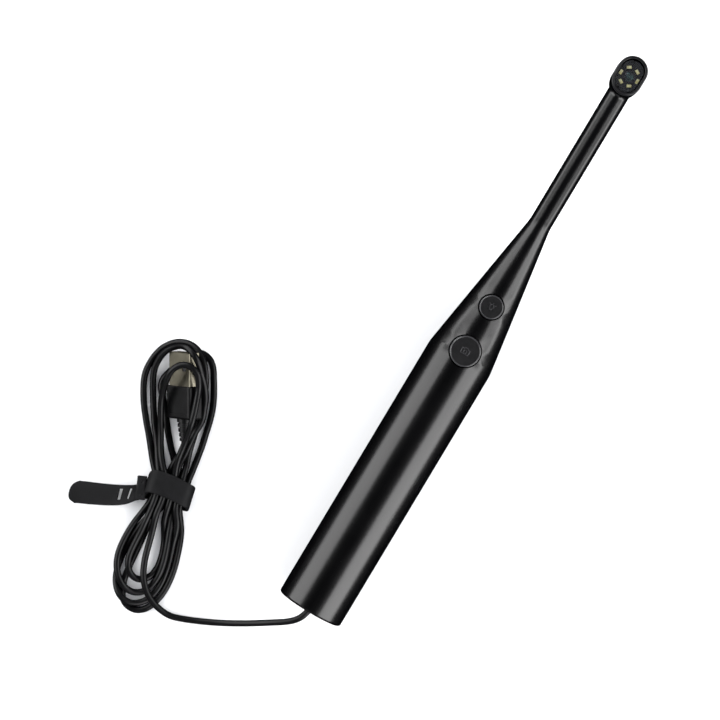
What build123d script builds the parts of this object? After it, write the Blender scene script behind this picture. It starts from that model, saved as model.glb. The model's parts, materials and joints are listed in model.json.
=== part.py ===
from build123d import *
import math
import os

os.makedirs("parts", exist_ok=True)

# =====================================================================
# Intraoral camera: a black wand with two buttons, its cable, hank,
# strap and USB-A plug.  Millimetres.  The wand lies along Y with its
# head towards +Y and its lens looking up (+Z).  It lies on z = 0.
# Origin: under the middle of the wand's own box.
# =====================================================================

# ---------------- driving dimensions ----------------
HANDLE_R = 12.5            # handle outer radius
AXIS_Z = HANDLE_R          # height of the wand's axis
Y_REAR = -114.5            # rear face
Y_CONE = -9.8              # the cylinder ends, the cone starts
Y_NECK = 45.9              # the cone ends, the neck starts
NECK_R = 4.11              # neck outer radius
CONE_BLEND = 20.0          # soft blends at both ends of the cone
REAR_EDGE = 1.0            # rounding of the rear edge
WALL = 1.8                 # handle wall
NECK_BORE = 2.75           # bore of the neck
HANDLE_IN = HANDLE_R - WALL

HEAD_Y = 107.08            # middle of the head
HEAD_L = 14.84             # head length
HEAD_W = 11.0              # head width
HEAD_TOP = 19.5            # rim's top
CUP_TOP = 18.4             # rim ring sits on the cup here
LEDGE_Z = 17.2             # ledge that carries the window's seal
HEAD_BOT = 8.35            # underside of the head
HOLLOW = 1.6               # hollow where the neck meets the head

CAP_Y = -7.07              # large button
CAP_R = 5.54
CAP_HOLE = 6.0
CAP_SLOPE = -0.10
LIGHT_Y = 11.17            # small button
LIGHT_R = 4.30
LIGHT_HOLE = 4.81
LIGHT_SLOPE = -0.15063
TRAVEL = 0.5               # travel of both buttons

BOARD_Z0, BOARD_Z1 = 9.4, 10.6      # main board
SWITCH_TOP = 14.1
PLUNGER_TOP = 15.3
PLUNGER_R = 1.6

RIBBON_Z = 11.0            # underside of the flat cable
RIBBON_T = 0.2
RIBBON_W = 3.4

CORD_R = 1.2               # cable radius
GROMMET_Y = -115.3         # outer face of the rubber bush
LED_RING = 3.35            # radius of the ring of LEDs

CASE_SCREWS = [(-7.2, -101.0), (7.2, -101.0), (-7.4, -22.0), (7.4, -22.0)]
STANDOFFS = [(-6.5, -72.0), (6.5, -72.0), (-6.5, -37.0), (6.5, -37.0)]
CLAMP_POSTS = [(-4.4, -94.0), (4.4, -94.0)]


def cyl(x, y, z0, z1, r):
    return Pos(x, y, (z0 + z1) / 2) * Cylinder(r, z1 - z0)


def block(x0, x1, y0, y1, z0, z1):
    return Pos((x0 + x1) / 2, (y0 + y1) / 2, (z0 + z1) / 2) * Box(x1 - x0, y1 - y0, z1 - z0)


def stadium(length, width, y, z):
    return Pos(0, y, z) * SlotOverall(length, width, rotation=90)


def slab(length, width, y, z0, z1):
    return extrude(stadium(length, width, y, z0), z1 - z0)


def nearest(shape, x, y):
    return shape.vertices().sort_by_distance((x, y, 0))[0]


def join(parts):
    out = parts[0]
    for p in parts[1:]:
        out = out + p
    return out


def group(parts):
    """separate solids that share one node"""
    solids = []
    for p in parts:
        solids += list(p.solids())
    return Compound(children=solids)


nodes = {}


def keep(name, shape):
    nodes[name] = shape


# =====================================================================
# casing: outside
# =====================================================================
def cone_r(y):
    """outer radius on the cone"""
    t = (y - Y_CONE) / (Y_NECK - Y_CONE)
    return HANDLE_R + (NECK_R - HANDLE_R) * t


profile = make_face(Polyline(
    (0, Y_REAR), (HANDLE_R, Y_REAR), (HANDLE_R, Y_CONE),
    (NECK_R, Y_NECK), (NECK_R, 104.0), (0, 104.0), close=True))
profile = fillet(nearest(profile, HANDLE_R, Y_REAR), REAR_EDGE)
profile = fillet(nearest(profile, HANDLE_R, Y_CONE), CONE_BLEND)
profile = fillet(nearest(profile, NECK_R, Y_NECK), CONE_BLEND)
wand = Pos(0, 0, AXIS_Z) * revolve(profile, axis=Axis.Y)

# the head is an upright oval cup; the neck runs into its side with a soft hollow
casing = wand + slab(HEAD_L, HEAD_W, HEAD_Y, 2.0, CUP_TOP)
seam = [e for e in casing.edges()
        if 98.9 < e.center().Y < 103.6 and 7 < e.center().Z < 17.5
        and e.geom_type != GeomType.LINE]
casing = fillet(seam, HOLLOW)

# underside of the head: rounded like an elbow, seen from the front and from the side
front_view = Pos(0, -HEAD_BOT - 30) * RectangleRounded(11.2, 60, 4.7)
front_form = extrude(Plane(origin=(0, 97.0, 0), x_dir=(1, 0, 0), z_dir=(0, 1, 0)) * front_view, 30)
side_view = make_face(Polyline((80, HEAD_BOT), (114.52, HEAD_BOT), (114.52, 40), (80, 40), close=True))
side_view = fillet(nearest(side_view, 114.52, HEAD_BOT), 4.2)
side_form = extrude(Plane.YZ * side_view, 12, both=True)
waste = (Pos(0, 108.0, 7.5) * Box(20, 22.0, 15)) - (front_form & side_form)
casing = casing - waste

# =====================================================================
# casing: inside
# =====================================================================
inner = make_face(Polyline(
    (0, Y_REAR + WALL), (HANDLE_IN, Y_REAR + WALL), (HANDLE_IN, Y_CONE - 0.1),
    (NECK_BORE, Y_NECK), (NECK_BORE, 103.0), (0, 103.0), close=True))
inner = fillet(nearest(inner, HANDLE_IN, Y_REAR + WALL), 1.0)
cavity = Pos(0, 0, AXIS_Z) * revolve(inner, axis=Axis.Y)
cavity += slab(10.8, 7.4, 106.9, 10.4, 15.6)
cavity += slab(11.9, 8.1, HEAD_Y, 15.4, LEDGE_Z + 0.1)
cavity += slab(13.44, 9.6, HEAD_Y, LEDGE_Z, CUP_TOP + 1)

shell = casing - cavity

# button holes
shell -= cyl(0, CAP_Y, 15.0, 30.0, CAP_HOLE)
shell -= cyl(0, LIGHT_Y, 15.0, 30.0, LIGHT_HOLE)
# hole of the cable's bush through the rear wall
bush_hole = Pos(0, Y_REAR + WALL / 2, AXIS_Z) * Rot(90, 0, 0) * Cylinder(2.45, WALL + 2)
shell -= bush_hole

FAR = 200
above = Pos(0, 0, AXIS_Z + 20) * Box(60, 2 * FAR, 40)
below = Pos(0, 0, AXIS_Z - 20) * Box(60, 2 * FAR, 40)
upper = shell & above
lower = shell & below

# alignment lip: a thin edge on the lower half fits in a step of the upper half
LIP_Y0, LIP_Y1 = Y_REAR + WALL + 0.6, Y_CONE - 6.0


def ring_slab(r0, r1, y0, y1, z0, z1):
    h = y1 - y0
    ring = Pos(0, (y0 + y1) / 2, AXIS_Z) * Rot(90, 0, 0) * (Cylinder(r1, h) - Cylinder(r0, h + 2))
    return ring & (Pos(0, 0, (z0 + z1) / 2) * Box(60, 2 * FAR, z1 - z0))


upper -= ring_slab(HANDLE_IN - 0.5, HANDLE_IN + 0.85, LIP_Y0 - 0.2, LIP_Y1 + 0.2,
                   AXIS_Z - 1, AXIS_Z + 1.1)
lower += ring_slab(HANDLE_IN + 0.05, HANDLE_IN + 0.75, LIP_Y0, LIP_Y1,
                   AXIS_Z - 0.5, AXIS_Z + 0.9)

# bosses of the four case screws
SEAT = {-101.0: 7.2, -22.0: 7.0}      # height of the screw head's seat
core_form = make_face(Polyline(
    (0, Y_REAR + 0.9), (HANDLE_R - 0.9, Y_REAR + 0.9), (HANDLE_R - 0.9, Y_CONE - 2.0),
    (NECK_R - 0.9, Y_NECK - 2.0), (0, Y_NECK - 2.0), close=True))
core_form = Pos(0, 0, AXIS_Z) * revolve(core_form, axis=Axis.Y)
solid_low = core_form & below
solid_up = core_form & above
for (x, y) in CASE_SCREWS:
    lower += cyl(x, y, 0, AXIS_Z, 2.3) & solid_low
    upper += cyl(x, y, AXIS_Z, 25, 2.3) & solid_up
for (x, y) in CASE_SCREWS:
    lower -= cyl(x, y, -1, SEAT[y], 2.0)
    lower -= cyl(x, y, 0, AXIS_Z + 1, 1.12)
    upper -= cyl(x, y, AXIS_Z - 1, 17.6, 1.02)
# standoffs of the board
for (x, y) in STANDOFFS:
    lower += cyl(x, y, 0, BOARD_Z0, 2.0) & solid_low
    lower -= cyl(x, y, 5.2, BOARD_Z0 + 1, 0.82)
# posts and saddle of the cable clamp
for (x, y) in CLAMP_POSTS:
    lower += (cyl(x, y, 0, AXIS_Z, 1.9) & solid_low) + cyl(x, y, AXIS_Z - 1, 13.7, 1.9)
    lower -= cyl(x, y, 7.0, 15, 0.82)
lower += block(-1.8, 1.8, -96.0, -92.0, 0.6, AXIS_Z - CORD_R) & solid_low
# two ribs that carry the front of the board
for y in (-16.0, 3.0):
    lower += block(-3.6, 3.6, y - 0.6, y + 0.6, 1.0, BOARD_Z0) & solid_low

keep("upper_shell", upper)
keep("lower_shell", lower)

# case screws: countersunk pan head with a cross recess, plain shank
screws = []
for (x, y) in CASE_SCREWS:
    s = SEAT[y]
    head = cyl(x, y, s - 1.3, s, 1.85)
    head = fillet(head.edges().filter_by_position(Axis.Z, s - 1.31, s - 1.29), 0.5)
    head -= block(x - 1.1, x + 1.1, y - 0.2, y + 0.2, s - 1.5, s - 0.6)
    head -= block(x - 0.2, x + 0.2, y - 1.1, y + 1.1, s - 1.5, s - 0.6)
    shank = cyl(x, y, s, 17.0, 1.0)
    shank = chamfer(shank.edges().filter_by_position(Axis.Z, 16.99, 17.01), 0.5)
    screws.append(head + shank)
keep("case_screws", group(screws))

# =====================================================================
# buttons: cap with retaining flange and stem, plus the switch's plunger
# =====================================================================


def cap(y, r, slope, z_mid, flange_r, fz0, fz1):
    tilt = math.degrees(math.atan(slope))
    body = cyl(0, y, fz1 - 0.2, z_mid + 4, r)
    cut = Pos(0, y, z_mid) * Rot(tilt, 0, 0) * Pos(0, 0, 10) * Box(40, 40, 20)
    body -= cut
    top_edge = body.edges().filter_by(GeomType.ELLIPSE)
    if len(top_edge) == 0:
        top_edge = body.edges().sort_by(Axis.Z)[-1:]
    body = chamfer(top_edge, 0.38)
    body += cyl(0, y, fz0, fz1, flange_r)
    body += cyl(0, y, PLUNGER_TOP, fz0 + 0.1, 2.0)
    # hollow under the cap, as moulded
    body -= (cyl(0, y, fz0 - 1, fz1 + 1.2, r - 1.3) - cyl(0, y, fz0 - 2, fz1 + 2, 2.0))
    frame = Plane(origin=(0, y, z_mid), x_dir=(1, 0, 0),
                  z_dir=(0, -math.sin(math.radians(tilt)), math.cos(math.radians(tilt))))
    return body, frame


CAP_Z = 24.59 + 0.30
LIGHT_Z = AXIS_Z + cone_r(LIGHT_Y) + 0.28
cap_body, cap_frame = cap(CAP_Y, CAP_R, CAP_SLOPE, CAP_Z, 6.6, 19.5, 20.3)
light_body, light_frame = cap(LIGHT_Y, LIGHT_R, LIGHT_SLOPE, LIGHT_Z, 5.1, 16.9, 17.6)

# shallow engraved pictograms: a still camera, and a lamp with rays
ENG = 0.16
pic = Pos(0, -0.2) * (RectangleRounded(3.3, 2.2, 0.35) - RectangleRounded(2.7, 1.6, 0.2))
pic += Pos(0, -0.2) * (Circle(0.62) - Circle(0.3))
pic += Pos(0, 1.12) * Rectangle(1.2, 0.44)
cap_body -= extrude(cap_frame.offset(-ENG) * pic, ENG + 0.5)
rays = []
for k in range(8):
    ang = k * 45
    rays.append(Rot(0, 0, ang) * Pos(1.45, 0) * Rectangle(0.62, 0.24))
sun = Sketch() + [Circle(0.8) - Circle(0.5)] + rays
light_body -= extrude(light_frame.offset(-ENG) * sun, ENG + 0.5)
keep("capture_button", cap_body)
keep("light_button", light_body)


def plunger(y):
    p = cyl(0, y, 12.2, PLUNGER_TOP, PLUNGER_R)
    return chamfer(p.edges().filter_by_position(Axis.Z, 12.19, 12.21), 0.25)


keep("capture_plunger", plunger(CAP_Y))
keep("light_plunger", plunger(LIGHT_Y))

bodies = []
for y in (CAP_Y, LIGHT_Y):
    b = block(-3, 3, y - 3, y + 3, BOARD_Z1, SWITCH_TOP)
    b = chamfer(b.edges().filter_by(Axis.Z), 0.4)
    b -= cyl(0, y, 11.5, 20, PLUNGER_R + 0.06)
    for sx in (-1, 1):
        for sy in (-1, 1):
            # pads of the switch on the board
            b += block(sx * 3.55 - 0.55, sx * 3.55 + 0.55, y + sy * 2.0 - 0.35,
                       y + sy * 2.0 + 0.35, BOARD_Z1, BOARD_Z1 + 0.25)
    bodies.append(b)
keep("switch_bodies", group(bodies))

# =====================================================================
# main board and what it carries
# =====================================================================
outline = make_face(Polyline(
    (-9, -82), (9, -82), (9, -31), (4.6, -27), (4.6, 18.5), (-4.6, 18.5),
    (-4.6, -27), (-9, -31), close=True))
board = extrude(Pos(0, 0, BOARD_Z0) * outline, BOARD_Z1 - BOARD_Z0)
board = fillet(board.edges().filter_by(Axis.Z).filter_by_position(Axis.Y, -82.1, -81.9), 1.0)
for (x, y) in STANDOFFS:
    board -= cyl(x, y, 8, 12, 0.9)
keep("main_board", board)

bs = []
for (x, y) in STANDOFFS:
    head = cyl(x, y, BOARD_Z1, BOARD_Z1 + 1.0, 1.5)
    head -= block(x - 0.9, x + 0.9, y - 0.18, y + 0.18, BOARD_Z1 + 0.5, BOARD_Z1 + 2)
    head -= block(x - 0.18, x + 0.18, y - 0.9, y + 0.9, BOARD_Z1 + 0.5, BOARD_Z1 + 2)
    bs.append(head + cyl(x, y, 5.6, BOARD_Z1, 0.8))
keep("board_screws", group(bs))

Z = BOARD_Z1
chip = block(-3.5, 3.5, -61.5, -54.5, Z + 0.12, Z + 1.1)
chip = chamfer(chip.edges().filter_by(Axis.Z), 0.3)
for k in range(8):
    o = -2.45 + 0.7 * k
    chip += block(o - 0.15, o + 0.15, -62.4, -53.6, Z, Z + 0.32)
    chip += block(-4.4, 4.4, -58 + o - 0.15, -58 + o + 0.15, Z, Z + 0.32)
keep("processor_chip", chip)

mem = block(-2.0, 2.0, -49.5, -44.5, Z + 0.12, Z + 1.4)
for k in range(4):
    o = -1.9 + 1.27 * k
    mem += block(-3.0, 3.0, -47 + o - 0.2, -47 + o + 0.2, Z, Z + 0.36)
keep("memory_chip", mem)

keep("crystal", fillet(block(-7.2, -5.2, -60.5, -55.5, Z, Z + 1.6).edges().filter_by(Axis.Z), 0.9))
reg = block(4.9, 6.5, -48.4, -45.5, Z + 0.1, Z + 1.1)
for o in (-0.95, 0.95):
    reg += block(4.3, 5.0, -46.95 + o - 0.2, -46.95 + o + 0.2, Z, Z + 0.35)
reg += block(6.4, 7.1, -47.15, -46.75, Z, Z + 0.35)
keep("regulator", reg)
caps = []
for (x, y) in [(6.0, -61.5), (6.0, -59.0), (6.0, -56.5), (6.0, -54.0), (-6.2, -50.5),
               (-6.2, -48.0), (-6.2, -45.5), (0.0, -67.0), (2.6, -67.0), (-2.6, -67.0)]:
    caps.append(block(x - 0.8, x + 0.8, y - 0.45, y + 0.45, Z, Z + 0.8))
keep("capacitors", group(caps))

# cable connector
sock = block(-4.2, 4.2, -80.5, -75.0, Z, Z + 3.2)
sock -= block(-3.45, 3.45, -81.5, -76.5, Z + 0.6, Z + 2.7)
keep("wire_socket", sock)
keep("wire_plug", block(-3.4, 3.4, -82.6, -76.6, Z + 0.65, Z + 2.65))

# flat-cable connector
rs = block(-2.6, 2.6, 14.9, 18.1, Z, Z + 1.2)
rs -= block(-RIBBON_W / 2 - 0.05, RIBBON_W / 2 + 0.05, 15.6, 20, RIBBON_Z - 0.02, RIBBON_Z + RIBBON_T + 0.02)
keep("ribbon_socket", rs)
keep("ribbon_cable", block(-RIBBON_W / 2, RIBBON_W / 2, 15.8, 110.0, RIBBON_Z, RIBBON_Z + RIBBON_T))

# =====================================================================
# head: sensor, lens, lamps, glass and rim
# =====================================================================
sb = slab(10.2, 6.9, 107.0, RIBBON_Z + RIBBON_T, RIBBON_Z + RIBBON_T + 0.5)
keep("sensor_board", sb)
SZ = RIBBON_Z + RIBBON_T + 0.5            # top of the sensor board
keep("image_sensor", block(-2.1, 2.1, HEAD_Y - 2.1, HEAD_Y + 2.1, SZ, SZ + 0.8))
holder = block(-3.1, 3.1, HEAD_Y - 3.1, HEAD_Y + 3.1, SZ, 15.5)
holder = chamfer(holder.edges().filter_by(Axis.Z), 0.5)
holder -= block(-2.3, 2.3, HEAD_Y - 2.3, HEAD_Y + 2.3, SZ - 1, SZ + 1.3)
holder -= cyl(0, HEAD_Y, SZ, 20, 2.5)
keep("lens_holder", holder)
barrel = cyl(0, HEAD_Y, 13.4, 17.25, 2.45)
barrel = chamfer(barrel.edges().filter_by_position(Axis.Z, 17.24, 17.26), 0.3)
barrel -= cyl(0, HEAD_Y, 13.0, 16.4, 1.5)
barrel -= cyl(0, HEAD_Y, 16.4, 18, 1.8)
keep("lens_barrel", barrel)
glass = cyl(0, HEAD_Y, 16.4, 16.8, 1.78)
glass += (Pos(0, HEAD_Y, 16.8 + 0.45 - 3.74) * Sphere(3.74)) & cyl(0, HEAD_Y, 16.7, 17.3, 1.78)
keep("front_lens", glass)
ledb = slab(11.6, 7.8, HEAD_Y, 15.5, 16.1) - cyl(0, HEAD_Y, 15, 17, 2.55)
keep("led_board", ledb)
leds = []
for k in range(6):
    a = 30 + 60 * k
    led = Box(1.7, 1.0, 0.7)
    led = chamfer(led.edges().filter_by_position(Axis.Z, 0.34, 0.36), 0.12)
    led = Pos(0, HEAD_Y, 16.1 + 0.35) * Rot(0, 0, -a) * Pos(0, LED_RING, 0) * led
    leds.append(led)
keep("leds", group(leds))
keep("window_gasket", slab(13.3, 9.5, HEAD_Y, LEDGE_Z, LEDGE_Z + 0.4)
     - slab(11.9, 8.1, HEAD_Y, LEDGE_Z - 1, LEDGE_Z + 1))
keep("window", slab(13.3, 9.5, HEAD_Y, LEDGE_Z + 0.4, CUP_TOP))
bezel = slab(HEAD_L, HEAD_W, HEAD_Y, CUP_TOP, HEAD_TOP)
bezel = fillet(bezel.edges().filter_by_position(Axis.Z, HEAD_TOP - 0.01, HEAD_TOP + 0.01), 0.55)
bezel -= slab(12.84, 9.0, HEAD_Y, CUP_TOP - 1, HEAD_TOP + 1)
bezel = chamfer(bezel.edges().filter_by_position(Axis.Z, HEAD_TOP - 0.01, HEAD_TOP + 0.01), 0.15)
keep("head_bezel", bezel)

# =====================================================================
# cable entry
# =====================================================================


def ydisc(y0, y1, r, x=0.0):
    return Pos(x, (y0 + y1) / 2, AXIS_Z) * Rot(90, 0, 0) * Cylinder(r, y1 - y0)


grommet = ydisc(GROMMET_Y, Y_REAR, 3.1)
grommet = fillet(grommet.edges().filter_by(GeomType.CIRCLE).sort_by(Axis.Y)[0], 0.5)
grommet += ydisc(Y_REAR, Y_REAR + WALL, 2.4) + ydisc(Y_REAR + WALL, Y_REAR + WALL + 1.4, 3.6)
grommet -= ydisc(GROMMET_Y - 1, Y_REAR + WALL + 3, CORD_R + 0.03)
keep("cable_grommet", grommet)
keep("cable_tail", ydisc(GROMMET_Y, -91.5, CORD_R))

bar = block(-6.5, 6.5, -96.0, -92.0, 13.7, 15.2)
bar = fillet(bar.edges().filter_by(Axis.Z), 1.9)
for (x, y) in CLAMP_POSTS:
    bar -= cyl(x, y, 13, 16, 0.9)
keep("cable_clamp", bar)
cs = []
for (x, y) in CLAMP_POSTS:
    head = cyl(x, y, 15.2, 16.2, 1.5)
    head -= block(x - 0.9, x + 0.9, y - 0.18, y + 0.18, 15.7, 17)
    head -= block(x - 0.18, x + 0.18, y - 0.9, y + 0.9, 15.7, 17)
    cs.append(head + cyl(x, y, 8.0, 15.2, 0.8))
keep("clamp_screws", group(cs))

cores = []
for (x0, z0, x1) in [(-0.45, AXIS_Z - 0.45, -2.4), (-0.45, AXIS_Z + 0.45, -0.8),
                     (0.45, AXIS_Z + 0.45, 0.8), (0.45, AXIS_Z - 0.45, 2.4)]:
    z1 = Z + 1.65
    path = FilletPolyline((x0, -91.5, z0), (x0, -89.9, z0), (x1, -84.2, z1), (x1, -82.6, z1), radius=1.5)
    start = Plane(origin=path @ 0, z_dir=path % 0)
    cores.append(sweep(start * Circle(0.35), path=path))
keep("inner_wires", group(cores))

# =====================================================================
# USB-A plug: rolled on its edge inside the hank's upper loop
# =====================================================================
PLUG_ROLL = 46.0
PLUG_PITCH = 5.0
SHELL_W, SHELL_H, SHELL_L, SHELL_T = 12.0, 4.5, 12.0, 0.32
MOLD_W, MOLD_H, MOLD_L = 13.4, 6.6, 12.0
NECK_L = 8.0

cr, sr = math.cos(math.radians(PLUG_ROLL)), math.sin(math.radians(PLUG_ROLL))
cp, sp = math.cos(math.radians(PLUG_PITCH)), math.sin(math.radians(PLUG_PITCH))
FWD = (-0.51429 * cp, 0.85761 * cp, sp)                 # towards the mouth
SIDE = (0.85761, 0.51429, 0.0)
UPV = tuple(-c for c in (
    FWD[1] * SIDE[2] - FWD[2] * SIDE[1],
    FWD[2] * SIDE[0] - FWD[0] * SIDE[2],
    FWD[0] * SIDE[1] - FWD[1] * SIDE[0]))
WIDE = tuple(cr * SIDE[k] + sr * UPV[k] for k in range(3))

# plug in its own frame: X wide, Y thick, Z towards the mouth, 0 at the grip's front
sh = Pos(0, 0, (SHELL_L - 6) / 2) * Box(SHELL_W, SHELL_H, SHELL_L + 6)
sh = fillet(sh.edges().filter_by(Axis.Z), 0.5)
hollow = Pos(0, 0, (SHELL_L - 6) / 2) * Box(SHELL_W - 2 * SHELL_T, SHELL_H - 2 * SHELL_T, SHELL_L + 8)
hollow = fillet(hollow.edges().filter_by(Axis.Z), 0.25)
sh -= hollow
for sx in (-1, 1):
    sh -= Pos(sx * 2.6, 0, SHELL_L - 5.6) * Box(2.3, 10, 2.0)
ins = Pos(0, 0, -1.9) * Box(SHELL_W - 2 * SHELL_T - 0.02, SHELL_H - 2 * SHELL_T - 0.02, 8.0)
ins = fillet(ins.edges().filter_by(Axis.Z), 0.3)
ins += Pos(0, -0.95, 5.2) * Box(11.0, 1.9, 10.4)
grooves = []
contacts = []
for (x, l) in [(-3.5, 7.6), (-1.0, 6.8), (1.0, 6.8), (3.5, 7.6)]:
    grooves.append(Pos(x, -0.05, 2.1 + l / 2) * Box(1.1, 0.3, l + 0.1))
    contacts.append(Pos(x, -0.06, 2.1 + l / 2) * Box(1.0, 0.24, l))
for g in grooves:
    ins -= g
mold = Pos(0, 0, -MOLD_L / 2) * Box(MOLD_W, MOLD_H, MOLD_L)
mold = fillet(mold.edges().filter_by(Axis.Z), 1.2)
mold = fillet(mold.edges().filter_by_position(Axis.Z, -0.01, 0.01), 0.5)
mold = fillet(mold.edges().filter_by_position(Axis.Z, -MOLD_L - 0.01, -MOLD_L + 0.01), 0.9)
r_a, r_b = 2.75, 1.85
pts = [(0, -MOLD_L + 1.0), (r_a, -MOLD_L + 1.0)]
steps = 4
zc = -MOLD_L
for k in range(steps):
    ra = r_a + (r_b - r_a) * (k / steps)
    pts += [(ra, zc - 1.15), (ra - 0.6, zc - 1.15), (ra - 0.6, zc - 1.75)]
    zc -= 1.75
    rn = r_a + (r_b - r_a) * ((k + 1) / steps)
    pts += [(rn, zc)]
pts += [(r_b, -MOLD_L - NECK_L), (0, -MOLD_L - NECK_L)]
neck_face = make_face(Plane.XZ * Polyline(*pts, close=True))
neck = revolve(neck_face, axis=Axis.Z)
mold += neck
# the grip is moulded round the shell's rear part and the core
mold -= Pos(0, 0, -3 + 0.5) * Box(SHELL_W, SHELL_H, 7.0)
# shallow thumb panels on both wide faces
for sy in (-1, 1):
    mold -= Pos(0, sy * (MOLD_H / 2), -6.4) * Box(9.0, 0.5, 7.6)

ins = ins & (Pos(0, 0, 2) * Box(40, 40, 16))


def plug_at(shape, lift):
    frame = Plane(origin=(-79.86, -69.24, lift), x_dir=WIDE, z_dir=FWD)
    return frame.location * shape


lift = 10.0
low = min(plug_at(sh, lift).bounding_box().min.Z, plug_at(mold, lift).bounding_box().min.Z)
lift = lift - low + 0.02
PLUG_SHELL = plug_at(sh, lift)
PLUG_MOLD = plug_at(mold, lift)
keep("usb_shell", PLUG_SHELL)
keep("usb_insulator", plug_at(ins, lift))
keep("usb_contacts", group([plug_at(c, lift) for c in contacts]))
keep("usb_overmold", PLUG_MOLD)
plug_frame = Plane(origin=(-79.86, -69.24, lift), x_dir=WIDE, z_dir=FWD)
neck_end = plug_frame.from_local_coords(Vector(0, 0, -MOLD_L - NECK_L))
print("plug: grip front at z", round(lift, 2), "cable end", [round(v, 2) for v in neck_end])

# =====================================================================
# the free cable: a tube from the bush to the hank
# =====================================================================
ROUTE = [
    (0.2, -114.4, 12.5),
    (-0.4, -117.5, 12.4),
    (-1.9, -120.3, 12.0),
    (-4.5, -122.9, 11.2),
    (-9.7, -126.6, 9.2),
    (-16.6, -131.6, 5.6),
    (-24.2, -136.4, 2.7),
    (-32.0, -140.4, 1.6),
    (-39.2, -143.3, 2.2),
    (-45.6, -144.6, 3.6),
    (-51.0, -143.2, 4.6),
]


def corner_radii(points):
    out = []
    for i in range(1, len(points) - 1):
        a, b, c = Vector(points[i - 1]), Vector(points[i]), Vector(points[i + 1])
        turn = math.radians((b - a).get_angle(c - b))
        out.append(0.45 * min((b - a).length, (c - b).length) / math.tan(turn / 2))
    return out


radii = corner_radii(ROUTE)
print("cable radii", [round(r, 1) for r in radii])
print("cable runs", [round((Vector(ROUTE[i + 1]) - Vector(ROUTE[i])).length, 1)
                     for i in range(len(ROUTE) - 1)])
lead_path = FilletPolyline(*ROUTE, radius=radii)
lead = sweep(Plane(origin=lead_path @ 0, z_dir=lead_path % 0) * Circle(CORD_R), path=lead_path)
print("cable tube length", round(lead_path.length, 2), "volume ratio",
      round(lead.volume / (math.pi * CORD_R ** 2 * lead_path.length), 4))
lead -= Pos(0, GROMMET_Y + 20, AXIS_Z) * Box(30, 40, 30)

# =====================================================================
# the hank: outer shape of its two loops, with the strap at its waist
# =====================================================================
HANK_TOP = 7.4
LOOPS = [
    (-73.0, -103.6), (-80.5, -94.6), (-87.2, -87.2), (-92.7, -79.5), (-95.6, -72.7),
    (-95.7, -66.8), (-94.0, -61.1), (-90.1, -56.3), (-84.4, -54.5), (-80.0, -54.9),
    (-75.7, -56.1), (-71.6, -60.0), (-69.0, -65.2), (-65.5, -73.3), (-63.2, -80.6),
    (-61.4, -88.6), (-58.9, -98.3), (-56.9, -104.6), (-55.9, -109.4), (-53.6, -114.8),
    (-49.9, -123.4), (-47.2, -129.6), (-46.2, -134.8), (-46.2, -140.7), (-49.1, -145.8),
    (-53.1, -149.1), (-60.0, -148.4), (-65.2, -144.5), (-68.7, -138.9), (-70.4, -132.2),
    (-71.0, -126.0), (-70.6, -119.6), (-70.2, -113.6),
]
hank = extrude(make_face(Spline(*LOOPS, periodic=True)), HANK_TOP)
hank = fillet(hank.edges().group_by(Axis.Z)[-1], 1.2)

# strap band round the waist
BAND = Plane(origin=(-64.9, -106.2, 0), x_dir=(0.972, 0.233, 0), z_dir=(0, 0, 1))
BAND_W = 8.8
IN_W, IN_Z0, IN_Z1 = 15.4, 1.2, 6.2
STRAP_T = 1.2


def band_section(w, z0, z1, r, depth):
    b = Pos(0, 0, (z0 + z1) / 2) * Box(w, depth, z1 - z0)
    return fillet(b.edges().filter_by(Axis.Y), r)


outer_sec = band_section(IN_W + 2 * STRAP_T, 0.0, IN_Z1 + STRAP_T, 3.0, BAND_W)
inner_sec = band_section(IN_W, IN_Z0, IN_Z1, 1.8, BAND_W + 4)
band = BAND.location * (outer_sec - inner_sec)
core = BAND.location * band_section(IN_W - 0.1, IN_Z0, IN_Z1, 1.8, BAND_W + 3.0)
hank -= BAND.location * (Pos(0, 0, 5) * Box(30, BAND_W, 20))
hank += core

# room for the plug inside the upper loop
room_frame = Plane(origin=(-79.86, -69.24, 0), x_dir=(0.85761, 0.51429, 0), z_dir=(0, 0, 1))
room = Pos(0.0, (12.5 - 12.5) / 2, 15) * Box(13.4, 25.2, 60)
room += Pos(0.4, -16.0, 15) * Box(7.6, 9.6, 60)
hank -= room_frame.location * room
# the cable comes down from the plug into the hank
hank += plug_frame.location * (Pos(0, 0, -MOLD_L - NECK_L - 5.0) * Cylinder(CORD_R, 10.0))

lead_free = lead - hank
pieces = list(lead_free.solids())
pieces.sort(key=lambda s: s.volume)
lead_keep = pieces[-1]
print("lead pieces", len(pieces), "volumes", [round(p.volume, 1) for p in pieces])
keep("cord_lead", lead_keep)
keep("cord_hank", hank)

# =====================================================================
# the strap: band, eye and slotted tail, moulded in one piece
# =====================================================================
TAIL = make_face(Spline(
    (-72.6, -104.4), (-75.6, -106.6), (-78.6, -108.9), (-84.2, -112.6), (-90.2, -116.4),
    (-95.2, -119.6), (-97.2, -122.2), (-96.9, -125.4), (-94.4, -127.1), (-91.6, -126.6),
    (-86.2, -123.8), (-80.6, -120.5), (-76.2, -117.0), (-73.2, -113.4), (-71.9, -110.0),
    (-71.0, -106.4), periodic=True))
tdir = Vector(-0.845, -0.535, 0).normalized()
side_frame = Plane(origin=(-71.5, -108.6, 0), x_dir=tuple(tdir), z_dir=tuple(tdir.cross(Vector(0, 0, 1))))
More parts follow.
